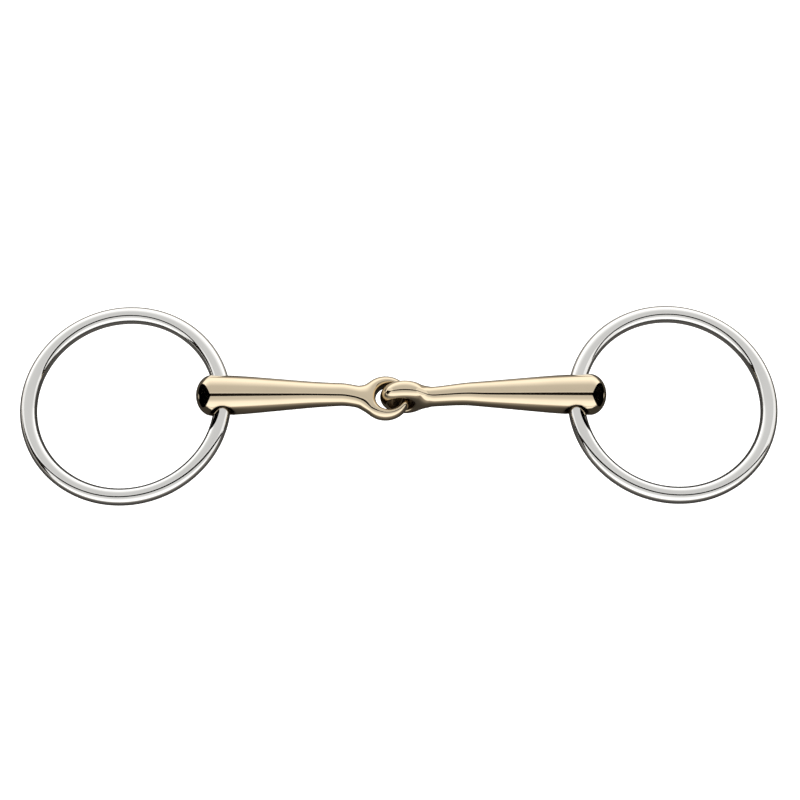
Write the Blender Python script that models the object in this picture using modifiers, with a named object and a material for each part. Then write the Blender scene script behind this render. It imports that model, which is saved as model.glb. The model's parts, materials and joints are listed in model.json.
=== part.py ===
"""Single-jointed loose-ring snaffle bit: two forged half-mouthpieces and two welded wire rings.

The bit lies flat on a surface at z = 0. +X runs along the mouthpiece and +Z is up. Lengths below
are in millimetres and become metres when a mesh is built.

Each half-mouthpiece ("arm") is drawn in its own frame. Its origin is the centre of the ring hole,
+x runs along the arm to the eye, +y lies in the plane of the eye and +z is the eye's own axis. The
left eye lies flat and the right eye stands upright, so the two link together like a chain.
"""
import math
from dataclasses import dataclass

import bmesh
import bpy
from mathutils import Matrix, Vector

MM = 0.001

# Rings: round wire, bent to a circle and welded after it has gone through its arm.
RING_INNER_DIAMETER = 70.0
WIRE_DIAMETER = 6.8
RING_SEGMENTS = 64
WIRE_SEGMENTS = 12
RING_TURN_DEG = 4.5

# Arms: round at the ring, tapering to an oval neck, then widening to the eye.
HOLE_TO_CENTRE = 70.0
FAT_DIAMETER = 16.3
TAPER_START = 2.0
TAPER_PER_MM = 0.178
NECK_WIDTH = 8.9
NECK_THICKNESS = 7.3
NECK_BLEND = 1.1
CAP_LENGTH = 6.5
ARM_SIDES = 24

# The eye: an oval rim round a hole whose walls are rounded like a worn chain link.
EYE_HOLE_RADIUS = 5.27
EYE_HALF_THICKNESS = 3.6
EYE_END_REACH = 8.27
EYE_CENTRE_BACK = 1.2
EYE_FLARE_TO = 2.2
EYE_WALL_ROUNDING = 1.0
EYE_END_ROUNDING = 2.2
EYE_SQUARENESS = 3.0

# The ring's hole through the fat end, along the ring's own tangent, eased at both mouths.
HOLE_RADIUS = 4.25
HOLE_FLARE = 0.7
HOLE_FLARE_FROM = 4.0
HOLE_FLARE_TO = 8.15
HOLE_CUTTER_REACH = 10.0
CUTTER_STEPS = 40

FAT_RADIUS = FAT_DIAMETER / 2
WIRE_RADIUS = WIRE_DIAMETER / 2
RING_RADIUS = RING_INNER_DIAMETER / 2 + WIRE_RADIUS

# The ring's bow inside the straight hole is shared between the two sides of the hole.
RING_BOW = FAT_RADIUS ** 2 / (2 * RING_RADIUS) / 2
RING_REACH = RING_RADIUS - RING_BOW
RING_TURN = math.radians(RING_TURN_DEG)

# Rings lie with their far side on the surface, so each one slopes down from its hole.
RING_SLOPE = math.asin((FAT_RADIUS - WIRE_RADIUS) / (RING_REACH + RING_RADIUS))
MOUTHPIECE_Y = RING_REACH * math.cos(RING_SLOPE) * math.sin(RING_TURN)

ARM_COLOR = (0.80, 0.66, 0.44)
RING_COLOR = (0.66, 0.67, 0.68)


@dataclass(frozen=True)
class Arm:
    """One half-mouthpiece: its own lengths, and how its frame stands in the bit's frame."""
    name: str
    side: int                # -1 for the left arm, +1 for the right one
    tip_reach: float         # from the ring hole to the blunt outer end
    eye_reach: float         # from the ring hole to the centre of the eye's hole
    eye_height: float        # of the arm's own line where it reaches the eye
    eye_upright: bool        # False: the eye lies flat
    eye_lean: float          # degrees the top of the eye leans back towards +y
    flare_from: float        # distance before the eye at which the neck starts to widen
    eye_half_width: float
    eye_shift: float         # of the eye to one side of the arm's line
    shift_from: float        # distances before the eye between which that shift grows
    shift_to: float


LEFT = Arm("left_arm", -1, 10.0, 65.8, 8.9, False, 0.0, 12.0, 9.15, 1.8, 15.0, 3.0)
RIGHT = Arm("right_arm", 1, 11.5, 69.4, 9.45, True, 6.0, 20.0, 9.6, 1.5, 28.0, 8.0)


def hole_centre(arm):
    """Centre of the ring hole in the bit's frame."""
    return Vector((arm.side * HOLE_TO_CENTRE, MOUTHPIECE_Y, FAT_RADIUS))


def arm_frame(arm):
    """Rotation of the arm's frame: +x towards the eye, +z along the eye's axis."""
    rise = math.asin((arm.eye_height - FAT_RADIUS) / arm.eye_reach)
    along = Vector((-arm.side * math.cos(rise), 0.0, math.sin(rise)))
    lean = math.radians(arm.eye_lean)
    if arm.eye_upright:
        normal = Vector((0.0, math.cos(lean), -math.sin(lean)))
        across = normal.cross(along).normalized()
        normal = along.cross(across)
    else:
        across = Vector((0.0, 1.0, 0.0))
        normal = along.cross(across)
    return Matrix((along, across, normal)).transposed()


def eye_centre(arm):
    """Centre of the eye's hole in the bit's frame."""
    across, normal = (0.0, -arm.eye_shift) if arm.eye_upright else (-arm.eye_shift, 0.0)
    return hole_centre(arm) + arm_frame(arm) @ Vector((arm.eye_reach, across, normal))


def ring_heading(arm):
    """Turn about Z that brings +y onto the axis the arm's ring swings about."""
    return Matrix.Rotation(arm.side * -RING_TURN, 4, "Z")


def smooth_step(value, start, end):
    """0 before start, 1 after end, and an even S curve between them."""
    t = min(max((value - start) / (end - start), 0.0), 1.0)
    return t * t * (3.0 - 2.0 * t)


def smooth_max(a, b, blend):
    """The larger of two lengths, rounded over where they are within blend of each other."""
    h = max(blend - abs(a - b), 0.0) / blend
    return max(a, b) + h * h * blend / 4.0


def taper(s, neck):
    """Half-width of the bar at a distance s from the ring hole, for a neck of the given width."""
    straight = FAT_RADIUS - TAPER_PER_MM * (s - TAPER_START) / 2
    rounded = -smooth_max(-straight, -FAT_RADIUS, NECK_BLEND)
    return smooth_max(rounded, neck / 2, NECK_BLEND)


def end_rounding(distance, length):
    """How much of the full section is left at a distance from a rounded end, from 0 to 1."""
    if distance >= length:
        return 1.0
    u = 1.0 - max(distance, 0.0) / length
    return math.sqrt(1.0 - u * u)


def section(arm, s):
    """Half-width, half-thickness and squareness of the arm's section at s."""
    d = s - arm.eye_reach
    cap = end_rounding(s + arm.tip_reach, CAP_LENGTH)
    width = taper(s, NECK_WIDTH) * cap
    thickness = taper(s, NECK_THICKNESS) * cap
    flare = smooth_step(d, -arm.flare_from, -EYE_FLARE_TO)
    width += (arm.eye_half_width - width) * flare
    thickness += (EYE_HALF_THICKNESS - thickness) * flare
    if d > -EYE_CENTRE_BACK:
        u = (d + EYE_CENTRE_BACK) / (EYE_END_REACH + EYE_CENTRE_BACK)
        width *= math.sqrt(max(1.0 - u * u, 0.0))
    thickness *= end_rounding(EYE_END_REACH - d, EYE_END_ROUNDING)
    return width, thickness, 2.0 + (EYE_SQUARENESS - 2.0) * flare


def stations(arm):
    """Distances along the arm at which its sections are drawn."""
    blunt = [CAP_LENGTH * (1.0 - math.cos(math.radians(a))) - arm.tip_reach
             for a in (12, 24, 36, 48, 60, 75, 90)]
    bar_start, bar_end = blunt[-1], arm.eye_reach - arm.flare_from
    bar = [bar_start + (bar_end - bar_start) * i / 12 for i in range(1, 13)]
    neck = [bar_end + (arm.flare_from - EYE_CENTRE_BACK) * i / 9 for i in range(1, 10)]
    radius = EYE_END_REACH + EYE_CENTRE_BACK
    end = [arm.eye_reach - EYE_CENTRE_BACK + radius * math.sin(math.radians(a))
           for a in (10, 20, 30, 40, 50, 58, 66, 73, 79, 84)]
    return blunt + bar + neck + end


def section_ring(arm, s):
    """Points round the arm's section at s, in the arm's frame."""
    width, thickness, squareness = section(arm, s)
    shift = -arm.eye_shift * smooth_step(s - arm.eye_reach, -arm.shift_from, -arm.shift_to)
    across, normal = (0.0, shift) if arm.eye_upright else (shift, 0.0)
    points = []
    for i in range(ARM_SIDES):
        angle = 2 * math.pi * (i + 0.5) / ARM_SIDES
        c, n = math.cos(angle), math.sin(angle)
        y = math.copysign(abs(c) ** (2 / squareness), c) * width
        z = math.copysign(abs(n) ** (2 / squareness), n) * thickness
        points.append(Vector((s, across + y, normal + z)) * MM)
    return points


def build_material(name, color, roughness):
    """Polished metal with the piece's colour."""
    material = bpy.data.materials.new(name)
    material.use_nodes = True
    shader = material.node_tree.nodes["Principled BSDF"]
    shader.inputs["Base Color"].default_value = (*color, 1.0)
    shader.inputs["Metallic"].default_value = 1.0
    shader.inputs["Roughness"].default_value = roughness
    return material


def new_object(name, bm, collection, material=None):
    """Turn a bmesh into an object whose faces point outwards."""
    bmesh.ops.recalc_face_normals(bm, faces=bm.faces)
    mesh = bpy.data.meshes.new(name)
    bm.to_mesh(mesh)
    bm.free()
    mesh.shade_smooth()
    if material:
        mesh.materials.append(material)
    obj = bpy.data.objects.new(name, mesh)
    collection.objects.link(obj)
    return obj


def screw_cutter(name, profile, collection):
    """A turned cutter: a (radius, height) profile, top to bottom, spun about its own Z axis."""
    mesh = bpy.data.meshes.new(name)
    points = [(0.0, profile[0][1]), *profile, (0.0, profile[-1][1])]
    verts = [(r * MM, 0.0, z * MM) for r, z in points]
    edges = [(i, i + 1) for i in range(len(verts) - 1)]
    mesh.from_pydata(verts, edges, [])
    obj = bpy.data.objects.new(name, mesh)
    collection.objects.link(obj)
    screw = obj.modifiers.new("Turn", "SCREW")
    screw.steps = CUTTER_STEPS
    screw.render_steps = CUTTER_STEPS
    screw.use_merge_vertices = True
    screw.merge_threshold = 0.00001
    obj.hide_render = True
    obj.display_type = "WIRE"
    return obj


def eye_profile():
    """Hourglass wall of the eye's hole: narrowest at mid-thickness, rounded over to both faces."""
    height = EYE_HALF_THICKNESS
    points = []
    for i in range(-4, 5):
        z = -height * math.sin(math.radians(i * 20))
        bulge = EYE_WALL_ROUNDING * (1.0 - math.sqrt(1.0 - (z / height) ** 2))
        points.append((EYE_HOLE_RADIUS + bulge, z))
    widest = EYE_HOLE_RADIUS + EYE_WALL_ROUNDING
    return [(widest, height + 2.0), *points, (widest, -height - 2.0)]


def hole_profile():
    """Wall of the ring's hole: a straight throat with a flare at each mouth."""
    def radius(t):
        over = max(abs(t) - HOLE_FLARE_FROM, 0.0) / (HOLE_FLARE_TO - HOLE_FLARE_FROM)
        return HOLE_RADIUS + HOLE_FLARE * over ** 2
    heights = [HOLE_CUTTER_REACH, 8.6, 7.4, 6.2, 5.0, HOLE_FLARE_FROM]
    heights += [-h for h in reversed(heights)]
    return [(radius(h), h) for h in heights]


def cut(obj, cutter):
    """Take the cutter's shape out of the object."""
    boolean = obj.modifiers.new(cutter.name, "BOOLEAN")
    boolean.operation = "DIFFERENCE"
    boolean.solver = "EXACT"
    boolean.object = cutter


def build_arm(arm, collection, cutters, material):
    """Loft the arm through its sections, then cut its eye and its ring hole."""
    bm = bmesh.new()
    rings = [[bm.verts.new(p) for p in section_ring(arm, s)] for s in stations(arm)]
    for first, second in zip(rings, rings[1:]):
        for i in range(ARM_SIDES):
            j = (i + 1) % ARM_SIDES
            bm.faces.new((first[i], first[j], second[j], second[i]))
    bm.faces.new(rings[0])
    bm.faces.new(rings[-1])
    body = new_object(arm.name, bm, collection, material)

    turn = arm_frame(arm)
    place = Matrix.Translation(hole_centre(arm) * MM) @ turn.to_4x4()
    body.matrix_world = place

    eye = screw_cutter(arm.name + "_eye_cutter", eye_profile(), cutters)
    eye.matrix_world = Matrix.Translation(eye_centre(arm) * MM) @ turn.to_4x4()
    hole = screw_cutter(arm.name + "_hole_cutter", hole_profile(), cutters)
    upright = Matrix.Rotation(math.radians(-90), 4, "X")
    hole.matrix_world = Matrix.Translation(hole_centre(arm) * MM) @ ring_heading(arm) @ upright
    cut(body, eye)
    cut(body, hole)
    return body


def pivot(name, location, collection):
    """An empty on a joint's axis, for the piece that turns there."""
    empty = bpy.data.objects.new(name, None)
    empty.empty_display_size = 0.01
    empty.location = location * MM
    collection.objects.link(empty)
    return empty


def build_ring(name, arm, collection, material):
    """A wire ring through the arm's hole, lying with its far side on the surface."""
    bpy.ops.mesh.primitive_torus_add(
        major_radius=RING_RADIUS * MM, minor_radius=WIRE_RADIUS * MM,
        major_segments=RING_SEGMENTS, minor_segments=WIRE_SEGMENTS)
    ring = bpy.context.object
    ring.name = name
    for owner in list(ring.users_collection):
        owner.objects.unlink(ring)
    collection.objects.link(ring)
    ring.data.shade_smooth()
    ring.data.materials.append(material)

    empty = pivot(name + "_pivot", hole_centre(arm), collection)
    ring.parent = empty
    slope = Matrix.Rotation(arm.side * RING_SLOPE, 4, "Y")
    away = Matrix.Translation(Vector((arm.side * RING_REACH, 0.0, 0.0)) * MM)
    ring.matrix_local = ring_heading(arm) @ slope @ away
    return ring


def main():
    """Clear the scene and build the bit."""
    for obj in list(bpy.data.objects):
        bpy.data.objects.remove(obj, do_unlink=True)
    parts = bpy.data.collections.new("snaffle_bit")
    cutters = bpy.data.collections.new("cutters")
    bpy.context.scene.collection.children.link(parts)
    bpy.context.scene.collection.children.link(cutters)

    arm_metal = build_material("polished_pale_gold_alloy", ARM_COLOR, 0.14)
    ring_metal = build_material("polished_stainless", RING_COLOR, 0.12)

    build_arm(LEFT, parts, cutters, arm_metal)
    right_arm = build_arm(RIGHT, parts, cutters, arm_metal)
    build_ring("left_ring", LEFT, parts, ring_metal)
    build_ring("right_ring", RIGHT, parts, ring_metal)

    fold = pivot("centre_fold_pivot", eye_centre(RIGHT), parts)
    bpy.context.view_layer.update()
    right_arm.parent = fold
    right_arm.matrix_parent_inverse = fold.matrix_world.inverted()


main()
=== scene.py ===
"""Looks of a single-jointed loose-ring snaffle bit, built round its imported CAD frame.

Two half-mouthpieces of polished pale gold alloy link eye in eye, and a round stainless wire ring
runs loose through the flared hole in the fat end of each. Lengths in the classes are millimetres.
"""
import json
import logging
import math
from collections.abc import Callable
from dataclasses import dataclass, field
from enum import Enum

import bpy
import numpy as np
from mathutils import Matrix, Vector


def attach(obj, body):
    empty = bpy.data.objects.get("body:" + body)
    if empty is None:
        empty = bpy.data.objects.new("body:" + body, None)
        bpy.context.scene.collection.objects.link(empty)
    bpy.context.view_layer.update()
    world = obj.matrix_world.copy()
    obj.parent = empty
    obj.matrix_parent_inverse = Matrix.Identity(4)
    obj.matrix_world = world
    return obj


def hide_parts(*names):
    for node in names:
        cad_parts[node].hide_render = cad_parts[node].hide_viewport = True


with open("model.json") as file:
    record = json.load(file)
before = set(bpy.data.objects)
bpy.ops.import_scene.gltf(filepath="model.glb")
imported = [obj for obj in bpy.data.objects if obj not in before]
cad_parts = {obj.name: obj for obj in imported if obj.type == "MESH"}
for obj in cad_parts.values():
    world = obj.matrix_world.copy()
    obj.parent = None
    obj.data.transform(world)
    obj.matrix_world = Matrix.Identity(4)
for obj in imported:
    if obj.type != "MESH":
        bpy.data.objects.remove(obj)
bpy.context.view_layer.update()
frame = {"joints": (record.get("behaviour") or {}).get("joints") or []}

MM = 0.001

TENT_LIGHT = (1.0, 0.99, 0.97)      # light that comes through the tent's cloth

Solid = Callable[[np.ndarray], np.ndarray]

log = logging.getLogger("snaffle_bit")


class Side(Enum):
    """Which half of the bit a piece belongs to."""
    LEFT = "left"
    RIGHT = "right"

    @property
    def sign(self) -> int:
        """-1 on the left, where x is negative, and +1 on the right."""
        return -1 if self is Side.LEFT else 1


class EyeStance(Enum):
    """How the eye of a half-mouthpiece stands when the bit lies on a table."""
    FLAT = "flat"
    UPRIGHT = "upright"


# ---------------------------------------------------------------- smooth shape arithmetic

def smooth_step(value: np.ndarray, start: float, end: float) -> np.ndarray:
    """Rise from 0 to 1 on an even S curve.

    Args:
        value: where to read the curve.
        start: the last place where it is 0.
        end: the first place where it is 1.

    Returns:
        The curve's height at each value.
    """
    t = np.clip((value - start) / (end - start), 0.0, 1.0)
    return t * t * (3.0 - 2.0 * t)


def smooth_max(a: np.ndarray, b: np.ndarray, blend: float) -> np.ndarray:
    """The larger of two lengths, rounded over where they are within blend of each other.

    Args:
        a: first length.
        b: second length.
        blend: how far apart the two may be and still be rounded together.

    Returns:
        The rounded maximum.
    """
    h = np.maximum(blend - np.abs(a - b), 0.0) / blend
    return np.maximum(a, b) + h * h * blend / 4.0


def smooth_min(a: np.ndarray, b: np.ndarray, blend: float) -> np.ndarray:
    """The smaller of two lengths, rounded over in the same way as smooth_max."""
    return -smooth_max(-a, -b, blend)


@dataclass
class SkinNet:
    """A quad net drawn over the surface where a solid's field is zero.

    The field is negative inside the solid and positive outside it, in millimetres.
    """
    low: np.ndarray
    high: np.ndarray
    cell: float = 0.42
    relax_rounds: int = 6
    settle_rounds: int = 3
    probe: float = 0.01
    least_steepness: float = 0.05

    def gradient(self, solid: Solid, points: np.ndarray) -> np.ndarray:
        """Slope of the field, by central differences.

        Args:
            solid: the field, a function of an (n, 3) array.
            points: where to measure it.

        Returns:
            The slope at each point, which points out of the solid.
        """
        slope = np.empty_like(points)
        for axis in range(3):
            step = np.zeros(3)
            step[axis] = self.probe
            slope[:, axis] = (solid(points + step) - solid(points - step)) / (2 * self.probe)
        return slope

    def settle(self, solid: Solid, points: np.ndarray) -> np.ndarray:
        """Move points along the slope until they lie on the surface.

        Args:
            solid: the field.
            points: points near its surface.

        Returns:
            The settled points.
        """
        for _ in range(self.settle_rounds):
            slope = self.gradient(solid, points)
            steep = np.maximum((slope ** 2).sum(axis=1), self.least_steepness)
            move = (solid(points) / steep)[:, None] * slope
            length = np.linalg.norm(move, axis=1, keepdims=True)
            points = points - move * np.minimum(1.0, self.cell / np.maximum(length, 1e-9))
        return points

    def draw(self, solid: Solid) -> tuple[np.ndarray, np.ndarray, np.ndarray]:
        """Draw the net.

        Args:
            solid: the field.

        Returns:
            Points, quads that face outwards, and the surface's unit normal at each point.
        """
        counts = np.ceil((self.high - self.low) / self.cell).astype(int) + 1
        axes = [self.low[i] + self.cell * np.arange(counts[i]) for i in range(3)]
        corners = np.stack(np.meshgrid(*axes, indexing="ij"), axis=-1)
        values = solid(corners.reshape(-1, 3)).reshape(counts)
        total = np.zeros((*(counts - 1), 3))
        number = np.zeros(counts - 1)
        loops = []
        for axis in range(3):
            across, up = (axis + 1) % 3, (axis + 2) % 3
            below = np.take(values, range(counts[axis] - 1), axis=axis)
            above = np.take(values, range(1, counts[axis]), axis=axis)
            index = np.argwhere((below < 0) != (above < 0))
            first, second = below[tuple(index.T)], above[tuple(index.T)]
            point = index.astype(float)
            point[:, axis] += first / (first - second)
            around = []
            for step_across, step_up in ((-1, -1), (0, -1), (0, 0), (-1, 0)):
                cell = index.copy()
                cell[:, across] += step_across
                cell[:, up] += step_up
                np.add.at(total, tuple(cell.T), point)
                np.add.at(number, tuple(cell.T), 1)
                around.append(np.ravel_multi_index(tuple(cell.T), number.shape))
            quad = np.stack(around, axis=1)
            quad[first > 0] = quad[first > 0][:, ::-1]
            loops.append(quad)
        used = np.flatnonzero(number.ravel())
        place = np.full(number.size, -1)
        place[used] = np.arange(len(used))
        points = total.reshape(-1, 3)[used] / number.ravel()[used][:, None]
        points = self.low + self.cell * points
        quads = place[np.concatenate(loops)]
        points = self.settle(solid, points)
        for _ in range(self.relax_rounds):
            points = self.settle(solid, self.relaxed(points, quads))
        slope = self.gradient(solid, points)
        return points, quads, slope / np.linalg.norm(slope, axis=1, keepdims=True)

    @staticmethod
    def relaxed(points: np.ndarray, quads: np.ndarray) -> np.ndarray:
        """Even out the net: each point goes half way to the middle of its neighbours.

        Args:
            points: the net's points.
            quads: the net's quads.

        Returns:
            The moved points.
        """
        total = np.zeros_like(points)
        number = np.zeros(len(points))
        for i in range(4):
            here, there = quads[:, i], quads[:, (i + 1) % 4]
            for axis in range(3):
                total[:, axis] += np.bincount(here, points[there, axis], len(points))
                total[:, axis] += np.bincount(there, points[here, axis], len(points))
            number += np.bincount(here, minlength=len(points))
            number += np.bincount(there, minlength=len(points))
        return points + 0.5 * (total / number[:, None] - points)


# ---------------------------------------------------------------- finishes

class NodeSketch:
    """Small helper that adds and links shader nodes in one material."""

    def __init__(self, name: str) -> None:
        """Start an empty material with a Principled shader wired to its output."""
        self.material = bpy.data.materials.new(name)
        self.material.use_nodes = True
        self.tree = self.material.node_tree
        self.shader = self.tree.nodes["Principled BSDF"]

    def add(self, kind: str, **settings) -> bpy.types.Node:
        """Add a node.

        Args:
            kind: the node's type.
            **settings: attributes to set on it.

        Returns:
            The new node.
        """
        node = self.tree.nodes.new(kind)
        for key, value in settings.items():
            setattr(node, key, value)
        return node

    def link(self, output: bpy.types.NodeSocket, target: bpy.types.NodeSocket) -> None:
        """Join an output to an input."""
        self.tree.links.new(output, target)

    def stretched_noise(self, scale: tuple[float, float, float], detail: float) -> bpy.types.NodeSocket:
        """Noise read from the piece's own coordinates, stretched along an axis.

        Args:
            scale: how fast the pattern runs along each axis, per metre.
            detail: octaves of finer noise.

        Returns:
            The noise's value output.
        """
        coordinates = self.add("ShaderNodeTexCoord")
        mapping = self.add("ShaderNodeMapping")
        mapping.inputs["Scale"].default_value = scale
        noise = self.add("ShaderNodeTexNoise")
        noise.inputs["Scale"].default_value = 1.0
        noise.inputs["Detail"].default_value = detail
        self.link(coordinates.outputs["Object"], mapping.inputs["Vector"])
        self.link(mapping.outputs["Vector"], noise.inputs["Vector"])
        return noise.outputs["Fac"]

    def span(self, value: bpy.types.NodeSocket, low: float, high: float,
             start: float = 0.3, end: float = 0.7) -> bpy.types.NodeSocket:
        """Stretch a value between two new ends.

        Args:
            value: the value to stretch.
            low: the result at start.
            high: the result at end.
            start: where the input span starts.
            end: where the input span ends.

        Returns:
            The stretched value.
        """
        node = self.add("ShaderNodeMapRange")
        node.inputs["From Min"].default_value = start
        node.inputs["From Max"].default_value = end
        node.inputs["To Min"].default_value = low
        node.inputs["To Max"].default_value = high
        self.link(value, node.inputs["Value"])
        return node.outputs["Result"]


@dataclass(frozen=True)
class PolishedMetal:
    """Machine-polished metal: a mirror with faint polishing lines, hairlines and handling marks."""
    name: str
    slot: str
    color: tuple[float, float, float]
    tarnish_and_shade: tuple[float, float, float]
    roughness_low: float
    roughness_high: float
    line_scale: tuple[float, float, float]
    line_depth: float
    tarnish_most: float

    cloud_scale: tuple[float, float, float] = (55.0, 60.0, 60.0)
    hair_fineness: float = 2.7
    hair_height: float = 0.35
    worn_in_recess: float = 0.22
    bump_strength: float = 0.25

    def build(self) -> bpy.types.Material:
        """Make the material.

        Returns:
            A material that reads object coordinates and the piece's "recess" attribute, which darkens
            the colour as painted shade in the holes.
        """
        sketch = NodeSketch(self.name)
        shader = sketch.shader
        shader.inputs["Metallic"].default_value = 1.0

        cloud = sketch.stretched_noise(self.cloud_scale, detail=3.0)
        lines = sketch.stretched_noise(self.line_scale, detail=2.0)
        hair_scale = tuple(self.hair_fineness * s for s in reversed(self.line_scale))
        hairs = sketch.stretched_noise(hair_scale, detail=1.0)

        # painted shade: the "recess" attribute darkens the colour towards the dark colour in the holes,
        # added to the random tarnish from the cloud noise
        recess = sketch.add("ShaderNodeAttribute", attribute_name="recess")
        tarnish_and_shade_mix = sketch.add("ShaderNodeMath", operation="ADD", use_clamp=True)
        sketch.link(recess.outputs["Fac"], tarnish_and_shade_mix.inputs[0])
        sketch.link(sketch.span(cloud, 0.0, self.tarnish_most, start=0.45, end=0.75), tarnish_and_shade_mix.inputs[1])

        tint = sketch.add("ShaderNodeMix", data_type="RGBA")
        tint.inputs["A"].default_value = (*self.color, 1.0)
        tint.inputs["B"].default_value = (*self.tarnish_and_shade, 1.0)
        sketch.link(tarnish_and_shade_mix.outputs["Value"], tint.inputs["Factor"])
        sketch.link(tint.outputs["Result"], shader.inputs["Base Color"])

        worn = sketch.add("ShaderNodeMath", operation="MULTIPLY_ADD")
        sketch.link(recess.outputs["Fac"], worn.inputs[0])
        worn.inputs[1].default_value = self.worn_in_recess
        sketch.link(sketch.span(cloud, self.roughness_low, self.roughness_high), worn.inputs[2])
        sketch.link(worn.outputs["Value"], shader.inputs["Roughness"])

        marks = sketch.add("ShaderNodeMath", operation="MULTIPLY_ADD")
        sketch.link(sketch.span(hairs, 0.0, 1.0, start=0.62, end=0.72), marks.inputs[0])
        marks.inputs[1].default_value = self.hair_height
        sketch.link(lines, marks.inputs[2])
        bump = sketch.add("ShaderNodeBump")
        bump.inputs["Strength"].default_value = self.bump_strength
        bump.inputs["Distance"].default_value = self.line_depth
        sketch.link(marks.outputs["Value"], bump.inputs["Height"])
        sketch.link(bump.outputs["Normal"], shader.inputs["Normal"])
        return sketch.material


# the dark colour serves both the faint random tarnish and the painted shade in the holes
PALE_GOLD = PolishedMetal(
    name="polished_pale_gold_alloy", slot="arm_metal",
    color=(0.84, 0.715, 0.525), tarnish_and_shade=(0.13, 0.09, 0.05),
    roughness_low=0.028, roughness_high=0.055,
    line_scale=(120.0, 1900.0, 1900.0), line_depth=0.000004, tarnish_most=0.05)

STAINLESS = PolishedMetal(
    name="polished_stainless", slot="ring_metal",
    color=(0.90, 0.90, 0.89), tarnish_and_shade=(0.60, 0.60, 0.59),
    roughness_low=0.03, roughness_high=0.065,
    line_scale=(900.0, 900.0, 2600.0), line_depth=0.000006, tarnish_most=0.08)


# ---------------------------------------------------------------- the half-mouthpieces

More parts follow.
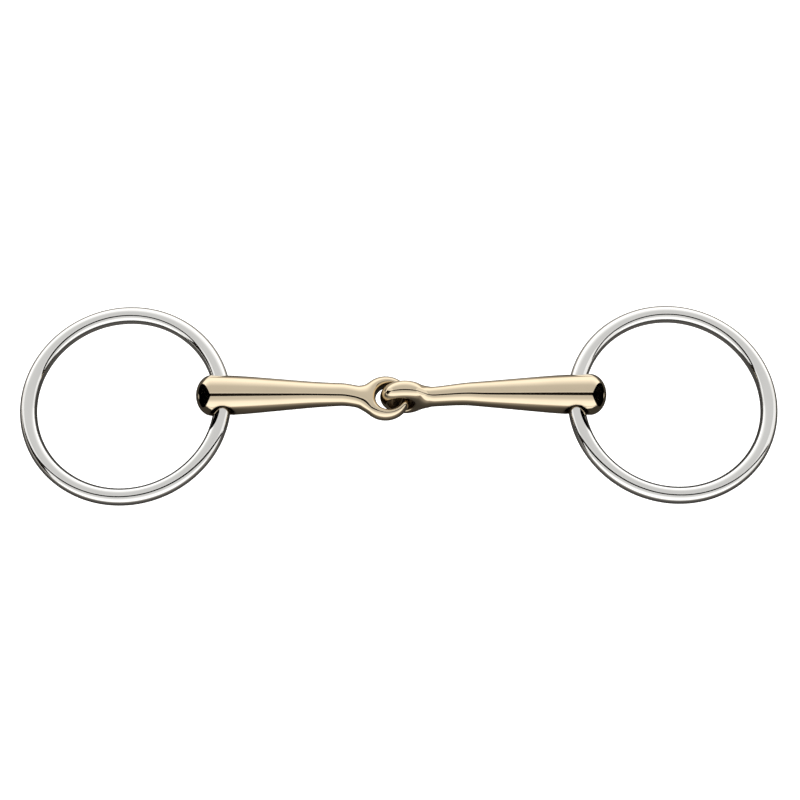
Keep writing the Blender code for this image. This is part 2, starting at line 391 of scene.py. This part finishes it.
@dataclass
class HalfMouthpiece:
    """One forged half: a fat round end, a taper to an oval neck, and a chain-link eye.

    The piece is drawn in its own frame: the origin is the centre of the ring hole, x runs to the
    eye, y lies in the plane of the eye and z is the eye's axis.
    """
    side: Side
    stance: EyeStance
    hole_centre: Vector
    swing_axis: Vector
    tip_reach: float
    eye_reach: float
    eye_height: float
    eye_lean_deg: float
    eye_half_width: float
    eye_shift: float
    wall_rounding: float
    shift_from: float
    shift_to: float
    finish: bpy.types.Material

    fat_radius: float = 8.15
    taper_start: float = 2.0
    taper_per_mm: float = 0.178
    neck_half_width: float = 4.45
    neck_half_thickness: float = 3.65
    neck_blend: float = 1.1
    cap_length: float = 6.5

    eye_hole_radius: float = 5.27
    eye_half_length: float = 9.57
    eye_outline_back: float = 1.3
    rim_radius: float = 3.65
    bar_stop: float = 7.4
    bar_end_length: float = 3.6
    eye_blend: float = 3.2

    hole_radius: float = 4.25
    hole_flare: float = 0.7
    hole_flare_from: float = 4.0
    hole_flare_to: float = 8.15
    mouth_rounding: float = 0.5
    hole_shade_depth: float = 0.35      # how far the painted shade spreads out of each hole
    eye_shade_depth: float = 0.25

    net_half_width: float = 12.6
    net_past_tip: float = 1.6
    net_past_eye: float = 9.9

    @property
    def name(self) -> str:
        """The CAD node that this piece stands for, which is also its body."""
        return f"{self.side.value}_arm"

    def frame_matrix(self) -> Matrix:
        """Place of the piece's own frame in the bit's frame, in metres."""
        rise = math.asin((self.eye_height - self.hole_centre.z / MM) / self.eye_reach)
        along = Vector((-self.side.sign * math.cos(rise), 0.0, math.sin(rise)))
        lean = math.radians(self.eye_lean_deg)
        if self.stance is EyeStance.UPRIGHT:
            normal = Vector((0.0, math.cos(lean), -math.sin(lean)))
            across = normal.cross(along).normalized()
            normal = along.cross(across)
        else:
            across = Vector((0.0, 1.0, 0.0))
            normal = along.cross(across)
        turn = Matrix((along, across, normal)).transposed().to_4x4()
        return Matrix.Translation(self.hole_centre) @ turn @ Matrix.Scale(MM, 4)

    def half_width(self, s: np.ndarray, neck: float) -> np.ndarray:
        """Half-width of the bar.

        Args:
            s: distance from the ring hole towards the eye.
            neck: half-width of the neck in the same direction.

        Returns:
            The half-width at s.
        """
        straight = self.fat_radius - self.taper_per_mm * (s - self.taper_start) / 2
        rounded = smooth_min(straight, np.full_like(s, self.fat_radius), self.neck_blend)
        return smooth_max(rounded, np.full_like(s, neck), self.neck_blend)

    def bar_field(self, points: np.ndarray) -> np.ndarray:
        """Field of the tapered bar with its blunt end, which stops inside the eye's rim."""
        s = points[:, 0]
        shift = -self.eye_shift * smooth_step(s - self.eye_reach, -self.shift_from, -self.shift_to)
        upright = self.stance is EyeStance.UPRIGHT
        y = points[:, 1] - (0.0 if upright else shift)
        z = points[:, 2] - (shift if upright else 0.0)
        wide = self.half_width(s, self.neck_half_width)
        thick = self.half_width(s, self.neck_half_thickness)
        around = np.sqrt((y / wide) ** 2 + (z / thick) ** 2)
        blunt = np.maximum((self.cap_length - self.tip_reach - s) / self.cap_length, 0.0)
        stop = self.eye_reach - self.bar_stop - self.bar_end_length
        inner = np.maximum((s - stop) / self.bar_end_length, 0.0)
        end = np.maximum(blunt, inner)
        return (np.hypot(around, end) - 1.0) * np.minimum(wide, thick)

    def eye_frame(self, points: np.ndarray) -> np.ndarray:
        """Points measured from the centre of the eye's hole."""
        upright = self.stance is EyeStance.UPRIGHT
        centre = (self.eye_reach, 0.0 if upright else -self.eye_shift,
                  -self.eye_shift if upright else 0.0)
        return points - np.array(centre)

    def rim_field(self, points: np.ndarray) -> np.ndarray:
        """Field of the eye's rim, rounded outside like a bar and drilled through by the hole."""
        local = self.eye_frame(points)
        reach = np.maximum(np.hypot(local[:, 0], local[:, 1]), 1e-6)
        c, n = local[:, 0] / reach, local[:, 1] / reach
        a, b = self.eye_half_length, self.eye_half_width
        back = self.eye_outline_back
        p = (c / a) ** 2 + (n / b) ** 2
        q = back * c / a ** 2
        outer = (-q + np.sqrt(q * q - p * ((back / a) ** 2 - 1.0))) / p
        past = np.maximum(reach - outer + self.rim_radius, 0.0)
        blank = np.hypot(past, local[:, 2]) - self.rim_radius
        return smooth_max(blank, self.eye_hole_radius - reach, self.wall_rounding)

    def hole_field(self, points: np.ndarray) -> np.ndarray:
        """Field of the ring's hole, which runs along the axis the ring swings about."""
        turn = self.frame_matrix().to_3x3().normalized().transposed()
        along = points @ np.array(turn @ self.swing_axis)
        across = np.sqrt(np.maximum((points ** 2).sum(axis=1) - along ** 2, 0.0))
        over = np.maximum(np.abs(along) - self.hole_flare_from, 0.0)
        over = over / (self.hole_flare_to - self.hole_flare_from)
        return across - self.hole_radius - self.hole_flare * over ** 2

    def solid(self, points: np.ndarray) -> np.ndarray:
        """Field of the whole piece."""
        body = smooth_min(self.bar_field(points), self.rim_field(points), self.eye_blend)
        return smooth_max(body, -self.hole_field(points), self.mouth_rounding)

    def recess(self, points: np.ndarray) -> np.ndarray:
        """How sheltered each point is, from 0 on open surfaces to 1 deep in a hole; the finish paints
        shade with it, darkening the colour in the holes.
        """
        in_hole = np.exp(-np.maximum(self.hole_field(points), 0.0) / self.hole_shade_depth)
        local = self.eye_frame(points)
        wall = np.hypot(local[:, 0], local[:, 1]) - self.eye_hole_radius
        in_eye = np.exp(-np.maximum(wall, 0.0) / self.eye_shade_depth)
        return np.clip(np.maximum(in_hole, in_eye), 0.0, 1.0)

    def build(self) -> bpy.types.Object:
        """Draw the piece, dress it and hang it on its CAD body.

        Returns:
            The finished object, at the origin, with its place in its mesh.
        """
        side = self.net_half_width
        low = np.array([-self.tip_reach - self.net_past_tip, -side, -side])
        high = np.array([self.eye_reach + self.net_past_eye, side, side])
        points, quads, normals = SkinNet(low, high).draw(self.solid)
        place = self.frame_matrix()
        turn = np.array(place.to_3x3())
        world = points @ turn.T + np.array(place.translation)
        world_normals = normals @ (turn / MM).T

        mesh = bpy.data.meshes.new(f"{self.name}_skin")
        mesh.from_pydata(world.tolist(), [], quads.tolist())
        mesh.polygons.foreach_set("use_smooth", np.ones(len(quads), dtype=bool))
        shade = mesh.attributes.new("recess", "FLOAT", "POINT")
        shade.data.foreach_set("value", self.recess(points).astype(np.float32))
        mesh.normals_split_custom_set_from_vertices(world_normals.tolist())
        mesh.materials.append(self.finish)
        obj = bpy.data.objects.new(f"{self.name}_forging", mesh)
        bpy.context.scene.collection.objects.link(obj)
        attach(obj, self.name)
        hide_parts(self.name)
        log.info("%s: %d quads", obj.name, len(quads))
        return obj


# ---------------------------------------------------------------- the rings

class WireRingTree:
    """Geometry nodes that sweep a round wire round a circle."""

    def __init__(self, name: str) -> None:
        """Build the node group, with named inputs for its sizes."""
        self.group = bpy.data.node_groups.new(name, "GeometryNodeTree")
        self.sockets: dict[str, str] = {}
        face = self.group.interface
        for label, kind in (("Ring Radius", "NodeSocketFloat"), ("Wire Radius", "NodeSocketFloat"),
                            ("Ring Steps", "NodeSocketInt"), ("Wire Steps", "NodeSocketInt"),
                            ("Finish", "NodeSocketMaterial")):
            socket = face.new_socket(label, in_out="INPUT", socket_type=kind)
            self.sockets[label] = socket.identifier
        face.new_socket("Ring", in_out="OUTPUT", socket_type="NodeSocketGeometry")
        self.wire_up()

    def wire_up(self) -> None:
        """Add the nodes and join them."""
        nodes, links = self.group.nodes, self.group.links
        given = nodes.new("NodeGroupInput")
        result = nodes.new("NodeGroupOutput")
        path = nodes.new("GeometryNodeCurvePrimitiveCircle")
        section = nodes.new("GeometryNodeCurvePrimitiveCircle")
        sweep = nodes.new("GeometryNodeCurveToMesh")
        smooth = nodes.new("GeometryNodeSetShadeSmooth")
        realize = nodes.new("GeometryNodeRealizeInstances")
        dress = nodes.new("GeometryNodeSetMaterial")
        links.new(given.outputs["Ring Radius"], path.inputs["Radius"])
        links.new(given.outputs["Ring Steps"], path.inputs["Resolution"])
        links.new(given.outputs["Wire Radius"], section.inputs["Radius"])
        links.new(given.outputs["Wire Steps"], section.inputs["Resolution"])
        links.new(path.outputs["Curve"], sweep.inputs["Curve"])
        links.new(section.outputs["Curve"], sweep.inputs["Profile Curve"])
        links.new(sweep.outputs["Mesh"], smooth.inputs["Geometry"])
        links.new(smooth.outputs["Geometry"], realize.inputs["Geometry"])
        links.new(realize.outputs["Geometry"], dress.inputs["Geometry"])
        links.new(given.outputs["Finish"], dress.inputs["Material"])
        links.new(dress.outputs["Geometry"], result.inputs["Ring"])


@dataclass
class LooseRing:
    """A round wire ring that runs through the hole of a half-mouthpiece."""
    side: Side
    hole_centre: Vector
    swing_axis: Vector
    tree: WireRingTree
    finish: bpy.types.Material
    inner_radius: float = 35.0
    wire_radius: float = 3.4
    fat_radius: float = 8.15
    ring_steps: int = 288
    wire_steps: int = 48

    @property
    def name(self) -> str:
        """The CAD node that this ring stands for, which is also its body."""
        return f"{self.side.value}_ring"

    def frame_matrix(self) -> Matrix:
        """Place of the ring's centre and plane, in the bit's frame."""
        radius = self.inner_radius + self.wire_radius
        reach = radius - self.fat_radius ** 2 / (4 * radius)
        slope = math.asin((self.fat_radius - self.wire_radius) / (reach + radius))
        level = self.swing_axis.cross(Vector((0.0, 0.0, 1.0))).normalized()
        outward = level * math.copysign(1.0, level.x * self.side.sign)
        away = outward * math.cos(slope) - Vector((0.0, 0.0, math.sin(slope)))
        normal = away.cross(self.swing_axis).normalized()
        turn = Matrix((away, self.swing_axis, normal)).transposed().to_4x4()
        return Matrix.Translation(self.hole_centre + away * reach * MM) @ turn

    def build(self) -> bpy.types.Object:
        """Sweep the wire, put it in place and hang it on its CAD body.

        Returns:
            The finished object, at the origin, with its place in its mesh.
        """
        seed = bpy.data.objects.new(f"{self.name}_path", bpy.data.meshes.new(f"{self.name}_path"))
        bpy.context.scene.collection.objects.link(seed)
        modifier = seed.modifiers.new("Wire Ring", "NODES")
        modifier.node_group = self.tree.group
        sizes = {
            "Ring Radius": (self.inner_radius + self.wire_radius) * MM,
            "Wire Radius": self.wire_radius * MM,
            "Ring Steps": self.ring_steps,
            "Wire Steps": self.wire_steps,
            "Finish": self.finish,
        }
        for label, value in sizes.items():
            modifier[self.tree.sockets[label]] = value
        graph = bpy.context.evaluated_depsgraph_get()
        mesh = bpy.data.meshes.new_from_object(seed.evaluated_get(graph), depsgraph=graph)
        bpy.data.objects.remove(seed)
        mesh.transform(self.frame_matrix())
        obj = bpy.data.objects.new(f"{self.name}_wire", mesh)
        bpy.context.scene.collection.objects.link(obj)
        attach(obj, self.name)
        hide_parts(self.name)
        log.info("%s: %d faces", obj.name, len(mesh.polygons))
        return obj


# ---------------------------------------------------------------- the studio

def glowing_sheet(name: str, verts: list, faces: list, glow: np.ndarray,
                  color: tuple[float, float, float]) -> bpy.types.Object:
    """A staged sheet that gives light of its own.

    Args:
        name: the object's name.
        verts: its corners, in metres.
        faces: its faces.
        glow: brightness at each corner.
        color: colour of its light.

    Returns:
        The sheet.
    """
    material = bpy.data.materials.new(name)
    material.use_nodes = True
    tree = material.node_tree
    tree.nodes.remove(tree.nodes["Principled BSDF"])
    level = tree.nodes.new("ShaderNodeAttribute")
    level.attribute_name = "glow"
    light = tree.nodes.new("ShaderNodeEmission")
    light.inputs["Color"].default_value = (*color, 1.0)
    tree.links.new(level.outputs["Fac"], light.inputs["Strength"])
    tree.links.new(light.outputs["Emission"], tree.nodes["Material Output"].inputs["Surface"])

    mesh = bpy.data.meshes.new(name)
    mesh.from_pydata(verts, [], faces)
    shade = mesh.attributes.new("glow", "FLOAT", "POINT")
    shade.data.foreach_set("value", glow.astype(np.float32))
    mesh.materials.append(material)
    obj = bpy.data.objects.new(name, mesh)
    bpy.context.scene.collection.objects.link(obj)
    return obj


@dataclass
class ShadedTable:
    """The table as the bit sees it in itself: bright far away and dim where the bit shades it."""
    bar_half_length: float = 74.0
    bar_half_width: float = 6.0
    ring_centre: float = 107.8
    ring_reach: float = 41.8
    distances: tuple[float, ...] = (0.0, 3.0, 9.0, 16.0, 30.0, 64.0, 150.0, 400.0)
    glows: tuple[float, ...] = (0.05, 0.057, 0.08, 0.11, 0.23, 0.36, 0.62, 0.85)
    back_lift: float = 1.0
    back_rise: float = 30.0            # how far behind the bit the painted brightening is complete
    fine_half: float = 240.0
    fine_step: float = 4.0
    far_half: float = 3000.0
    far_lines: int = 12
    height: float = -0.05
    color: tuple[float, float, float] = (1.0, 0.94, 0.86)

    def lines(self) -> np.ndarray:
        """Grid lines, close together under the bit and further apart away from it."""
        near = np.arange(-self.fine_half, self.fine_half + 1.0, self.fine_step)
        far = np.geomspace(self.fine_half, self.far_half, self.far_lines)[1:]
        return np.concatenate([-far[::-1], near, far])

    def distance(self, x: np.ndarray, y: np.ndarray) -> np.ndarray:
        """How far points of the table are from the bit's outline."""
        past = np.maximum(np.abs(x) - self.bar_half_length, 0.0)
        bar = np.hypot(past, y) - self.bar_half_width
        ring = np.hypot(np.abs(x) - self.ring_centre, y) - self.ring_reach
        return np.maximum(np.minimum(bar, ring), 0.0)

    def build(self) -> bpy.types.Object:
        """Lay the table.

        Returns:
            The staged table.
        """
        line = self.lines()
        count = len(line)
        x, y = (axis.ravel() for axis in np.meshgrid(line, line, indexing="ij"))
        glow = np.interp(self.distance(x, y), self.distances, self.glows)
        # painted light: the table's glow is raised behind the bit, up to twice as bright
        glow *= 1.0 + self.back_lift * smooth_step(y, 0.0, self.back_rise)
        verts = np.stack([x, y, np.full_like(x, self.height)], axis=1) * MM
        corner = np.arange(count * count).reshape(count, count)[:-1, :-1].ravel()
        faces = np.stack([corner, corner + count, corner + count + 1, corner + 1], axis=1)
        return glowing_sheet("table_in_reflections", verts.tolist(), faces.tolist(), glow, self.color)


@dataclass(frozen=True)
class EndSheet:
    """Two upright sheets that close one end of the light tent, but for an opening between them.

    The opening carries on from the slit overhead and widens on its way down to the table.
    """
    side: Side
    foot: tuple[float, float]          # front and back edges of the opening at the table
    reach: float = 800.0
    half_width: float = 620.0
    top: float = 700.0
    glow: float = 0.95
    waist: float = 380.0
    slit_deg: tuple[float, float] = (26.0, 10.4)

    def build(self) -> bpy.types.Object:
        """Make the two sheets.

        Returns:
            The sheets as one object, seen only in reflections and as light.
        """
        front, back = (-math.tan(math.radians(a)) for a in self.slit_deg)
        wide = self.half_width
        corners = []
        for outer, slope, foot in ((-wide, front, self.foot[0]), (wide, back, self.foot[1])):
            corners += [(outer, 0.0), (foot, 0.0), (slope * self.waist, self.waist),
                        (slope * self.top, self.top), (outer, self.top)]
        verts = [(self.side.sign * self.reach * MM, y * MM, z * MM) for y, z in corners]
        glow = np.full(len(verts), self.glow)
        obj = glowing_sheet(f"{self.side.value}_end_sheet", verts,
                            [(0, 1, 2, 3, 4), (9, 8, 7, 6, 5)], glow, TENT_LIGHT)
        obj.visible_camera = False
        return obj


@dataclass(frozen=True)
class DarkReflectionHood:
    """A black hood over one blunt end of the mouthpiece, pointed where it meets the tent's slit: a dark
    sheet that paints dark reflections on the end.
    """
    side: Side
    centre: tuple[float, float, float]
    radius: float = 12.0
    slit_deg: float = 18.3
    start_deg: float = 1.7
    full_deg: float = 50.5
    end_deg: float = 99.0
    strip_deg: tuple[float, float] = (81.0, 93.5)
    half_roll_deg: float = 88.0
    strip_glow: float = 0.5
    strip_color: tuple[float, float, float] = (1.0, 0.96, 0.88)
    steps: int = 40
    columns: int = 24

    def build(self) -> bpy.types.Object:
        """Make the hood, with a pale strip low down that paints a light line in the end's reflection.

        Returns:
            The hood, seen only in reflections.
        """
        verts, faces, glow = [], [], []
        columns = self.columns
        for i in range(self.steps + 1):
            lean = self.start_deg + (self.end_deg - self.start_deg) * i / self.steps
            share = min(1.0, (lean - self.start_deg) / (self.full_deg - self.start_deg))
            # the pale strip is a painted reflection of a light line
            lit = self.strip_deg[0] <= lean <= self.strip_deg[1]
            for j in range(columns + 1):
                roll = math.radians(self.slit_deg + share * self.half_roll_deg * (2 * j / columns - 1))
                a = math.radians(lean)
                way = (self.side.sign * math.sin(a), -math.sin(roll) * math.cos(a),
                       math.cos(roll) * math.cos(a))
                verts.append(tuple((c + self.radius * w) * MM for c, w in zip(self.centre, way)))
                glow.append(self.strip_glow if lit else 0.0)
            if i:
                row = (columns + 1) * i
                faces += [(row - columns - 1 + j, row - columns + j, row + j + 1, row + j)
                          for j in range(columns)]
        obj = glowing_sheet(f"{self.side.value}_end_hood", verts, faces, np.array(glow),
                            self.strip_color)
        obj.visible_camera = False
        obj.visible_diffuse = False
        obj.visible_shadow = False
        return obj


@dataclass(frozen=True)
class SoftPanel:
    """A curved sheet of a light tent, lit from behind, that spans an arc over the table."""
    name: str
    start_deg: float         # arc ends, from straight up towards the front (-Y)
    end_deg: float
    start_glow: float
    end_glow: float
    ramp: tuple[tuple[float, float], ...]    # brightness at shares of the arc
    start_distance: float = 640.0
    end_distance: float = 380.0
    half_length: float = 800.0
    steps: int = 24

    def build(self) -> bpy.types.Object:
        """Make the panel.

        Returns:
            The panel, seen only in reflections and as light.
        """
        verts, faces, glows = [], [], []
        for i in range(self.steps + 1):
            t = i / self.steps
            angle = math.radians(self.start_deg + (self.end_deg - self.start_deg) * t)
            distance = (self.start_distance + (self.end_distance - self.start_distance) * t) * MM
            y, z = -math.sin(angle) * distance, math.cos(angle) * distance
            for x in (-self.half_length * MM, self.half_length * MM):
                verts.append((x, y, z))
                glows.append(self.glow(t))
            if i:
                faces.append((2 * i - 2, 2 * i - 1, 2 * i + 1, 2 * i))
        obj = glowing_sheet(self.name, verts, faces, np.array(glows), TENT_LIGHT)
        obj.visible_camera = False
        return obj

    def glow(self, t: float) -> float:
        """Brightness of the sheet at a share t of its arc."""
        stops = ((0.0, self.start_glow), *self.ramp, (1.0, self.end_glow))
        for (t0, g0), (t1, g1) in zip(stops, stops[1:]):
            if t <= t1:
                return g0 + (g1 - g0) * (t - t0) / (t1 - t0)
        return self.end_glow


@dataclass
class Studio:
    """Light tent, tables, room and camera."""
    elevation_deg: float = 67.84
    azimuth_deg: float = -1.71
    roll_deg: float = 1.43
    distance: float = 910.4
    lens: float = 104.2
    sensor_width: float = 36.0
    clip_start: float = 0.01
    target: tuple[float, float, float] = (0.20, 0.87, 8.0)
    table_depth: float = 170.0         # lower than any piece reaches at any pose
    table_half: float = 3000.0
    table_color: tuple[float, float, float] = (0.88, 0.88, 0.88)
    table_glow: float = 0.86
    backdrop_color: tuple[float, float, float] = (0.95, 0.95, 0.95)
    room_color: tuple[float, float, float] = (0.012, 0.010, 0.008)
    below_color: tuple[float, float, float] = (0.62, 0.61, 0.59)
    panels: tuple[SoftPanel, ...] = field(default_factory=lambda: (
        SoftPanel("front_sheet", start_deg=26.0, end_deg=96.0, start_glow=0.66, end_glow=1.1,
                  ramp=((0.25, 0.72), (0.5, 1.22), (0.8, 1.35))),
        SoftPanel("back_sheet", start_deg=10.4, end_deg=-98.0, start_glow=0.80, end_glow=1.3,
                  ramp=((0.1, 0.64), (0.4, 0.68), (0.62, 1.1), (0.75, 1.35))),
    ))

    def build(self) -> None:
        """Put up the tent, the table, the room and the camera."""
        for panel in self.panels:
            panel.build()
        EndSheet(Side.LEFT, foot=(-380.0, 250.0)).build()
        EndSheet(Side.RIGHT, foot=(-70.0, -20.0)).build()
        DarkReflectionHood(Side.LEFT, (-73.6, 2.1, 8.0)).build()
        DarkReflectionHood(Side.RIGHT, (75.1, 2.1, 8.0)).build()
        self.table()
        self.room()
        self.camera()

    def table(self) -> None:
        """A white table top for the eye, and a shaded one that only reflections see."""
        white = self.white_table()
        white.visible_glossy = False
        shaded = ShadedTable().build()
        shaded.visible_camera = False
        shaded.visible_diffuse = False
        shaded.visible_shadow = False

    def white_table(self) -> bpy.types.Object:
        """A flat square that lies lower than the bit reaches at any pose, so it hides no piece.

        Returns:
            The table.
        """
        half = self.table_half * MM
        verts = [(x * half, y * half, -self.table_depth * MM)
                 for x, y in ((-1, -1), (1, -1), (1, 1), (-1, 1))]
        mesh = bpy.data.meshes.new("table")
        mesh.from_pydata(verts, [], [(0, 1, 2, 3)])
        sketch = NodeSketch("table")
        sketch.shader.inputs["Base Color"].default_value = (*self.table_color, 1.0)
        sketch.shader.inputs["Roughness"].default_value = 1.0
        sketch.shader.inputs["Specular IOR Level"].default_value = 0.0
        sketch.shader.inputs["Emission Color"].default_value = (1.0, 1.0, 1.0, 1.0)
        sketch.shader.inputs["Emission Strength"].default_value = self.table_glow
        mesh.materials.append(sketch.material)
        obj = bpy.data.objects.new("table", mesh)
        bpy.context.scene.collection.objects.link(obj)
        return obj

    def room(self) -> None:
        """A pale backdrop for the eye, and for reflections a dim room, pale below the table's level.

        At rest every ray that leads down meets the table, so the pale part is seen only by pieces
        that swing lower than the table.
        """
        world = bpy.data.worlds.new("studio")
        bpy.context.scene.world = world
        world.use_nodes = True
        tree = world.node_tree
        backdrop = tree.nodes["Background"]
        room = tree.nodes.new("ShaderNodeBackground")
        below = tree.nodes.new("ShaderNodeBackground")
        for node, color in ((backdrop, self.backdrop_color), (room, self.room_color),
                            (below, self.below_color)):
            node.inputs["Color"].default_value = (*color, 1.0)
        way = tree.nodes.new("ShaderNodeTexCoord")
        split = tree.nodes.new("ShaderNodeSeparateXYZ")
        downward = tree.nodes.new("ShaderNodeMath")
        downward.operation = "LESS_THAN"
        downward.inputs[1].default_value = 0.0
        reflected = tree.nodes.new("ShaderNodeMixShader")
        path = tree.nodes.new("ShaderNodeLightPath")
        seen = tree.nodes.new("ShaderNodeMixShader")
        for output, target in (
                (way.outputs["Generated"], split.inputs["Vector"]),
                (split.outputs["Z"], downward.inputs[0]),
                (downward.outputs["Value"], reflected.inputs["Fac"]),
                (room.outputs["Background"], reflected.inputs[1]),
                (below.outputs["Background"], reflected.inputs[2]),
                (path.outputs["Is Camera Ray"], seen.inputs["Fac"]),
                (reflected.outputs["Shader"], seen.inputs[1]),
                (backdrop.outputs["Background"], seen.inputs[2]),
                (seen.outputs["Shader"], tree.nodes["World Output"].inputs["Surface"])):
            tree.links.new(output, target)
        bpy.context.scene.view_settings.view_transform = "Standard"

    def camera(self) -> None:
        """A long lens almost overhead, turned a little on its own axis."""
        elevation = math.radians(self.elevation_deg)
        azimuth = math.radians(self.azimuth_deg)
        roll = math.radians(self.roll_deg)
        back = Vector((math.sin(azimuth) * math.cos(elevation),
                       -math.cos(azimuth) * math.cos(elevation), math.sin(elevation)))
        right = Vector((math.cos(azimuth), math.sin(azimuth), 0.0))
        up = back.cross(right)
        rolled_right = right * math.cos(roll) + up * math.sin(roll)
        rolled_up = up * math.cos(roll) - right * math.sin(roll)
        data = bpy.data.cameras.new("camera")
        data.lens = self.lens
        data.sensor_width = self.sensor_width
        data.clip_start = self.clip_start
        camera = bpy.data.objects.new("camera", data)
        turn = Matrix((rolled_right, rolled_up, back)).transposed().to_4x4()
        place = Vector(self.target) * MM + back * self.distance * MM
        camera.matrix_world = Matrix.Translation(place) @ turn
        bpy.context.scene.collection.objects.link(camera)
        bpy.context.scene.camera = camera


# ---------------------------------------------------------------- the bit

def joint(name: str) -> dict:
    """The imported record's entry for a joint."""
    return next(j for j in frame["joints"] if j["name"] == name)


def main() -> None:
    """Build the two halves, the two rings and the studio."""
    logging.basicConfig(level=logging.INFO, format="%(name)s %(message)s")
    gold = PALE_GOLD.build()
    steel = STAINLESS.build()
    swings = {side: joint(f"{side.value}_ring_swing") for side in Side}
    holes = {side: Vector(swings[side]["pos_m"]) for side in Side}
    axes = {side: Vector(swings[side]["axis"]).normalized() for side in Side}

    HalfMouthpiece(
        side=Side.LEFT, stance=EyeStance.FLAT, hole_centre=holes[Side.LEFT],
        swing_axis=axes[Side.LEFT], tip_reach=10.0, eye_reach=65.8, eye_height=8.9,
        eye_lean_deg=0.0, eye_half_width=9.15, eye_shift=1.8, wall_rounding=2.4,
        shift_from=19.0, shift_to=6.0, finish=gold).build()
    HalfMouthpiece(
        side=Side.RIGHT, stance=EyeStance.UPRIGHT, hole_centre=holes[Side.RIGHT],
        swing_axis=axes[Side.RIGHT], tip_reach=11.5, eye_reach=69.4,
        eye_height=9.45, eye_lean_deg=6.0, eye_half_width=9.6, eye_shift=1.5, wall_rounding=1.2,
        shift_from=28.0, shift_to=8.0, finish=gold).build()

    tree = WireRingTree("wire_ring")
    for side in Side:
        LooseRing(side, holes[side], axes[side], tree, steel).build()

    Studio().build()


if __name__ == "__main__":
    main()
